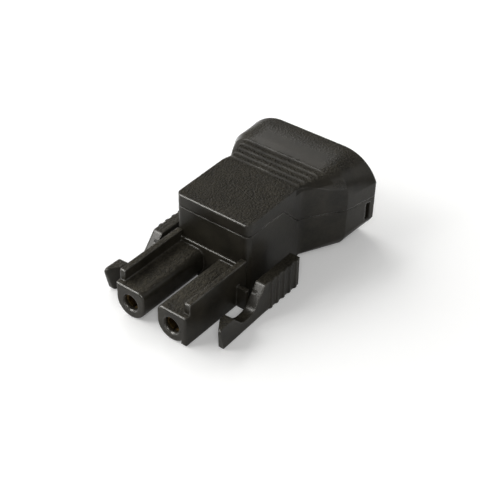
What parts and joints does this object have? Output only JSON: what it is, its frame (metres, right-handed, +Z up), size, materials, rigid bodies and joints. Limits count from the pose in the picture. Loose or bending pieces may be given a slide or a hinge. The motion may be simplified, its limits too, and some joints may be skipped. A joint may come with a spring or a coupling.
{
  "type": "in-line socket",
  "caption": "Black in-line socket with split sleeves for round pins, squeeze latches at the sides, a flared two-shell housing and a clamped cable entry.",
  "frame": {"origin": "on the ground under the middle of the whole part", "axes": "-Y towards the two sleeves, +Y towards the cable end, +X across, +Z up"},
  "size_m": [0.0312, 0.0506, 0.0181],
  "materials": {
    "shell": "fine spark-eroded grain",
    "carrier": "smooth moulded",
    "latch": "smooth moulded",
    "brass": "turned",
    "steel": "zinc plated"
  },
  "bodies": {
    "housing": {"upper_shell": "shell", "lower_shell": "shell", "contact_carrier": "carrier", "cable_clamp": "carrier", "contact_left": "brass", "contact_right": "brass", "terminal_screw_left": "steel", "terminal_screw_right": "steel", "clamp_screw_left": "steel", "clamp_screw_right": "steel"},
    "latch_left": {"latch_left": "latch"},
    "latch_right": {"latch_right": "latch"}
  },
  "joints": [
    {"name": "latch_left_squeeze", "type": "hinge", "parent": "housing", "child": "latch_left", "pos_m": [-0.012, -0.0089, 0.00265], "axis": [0, 0, -1], "range_deg": [0, 12], "stiffness_Nm_per_rad": 0.15},
    {"name": "latch_right_squeeze", "type": "hinge", "parent": "housing", "child": "latch_right", "pos_m": [0.012, -0.0089, 0.00265], "axis": [0, 0, 1], "range_deg": [0, 12], "stiffness_Nm_per_rad": 0.15}
  ]
}
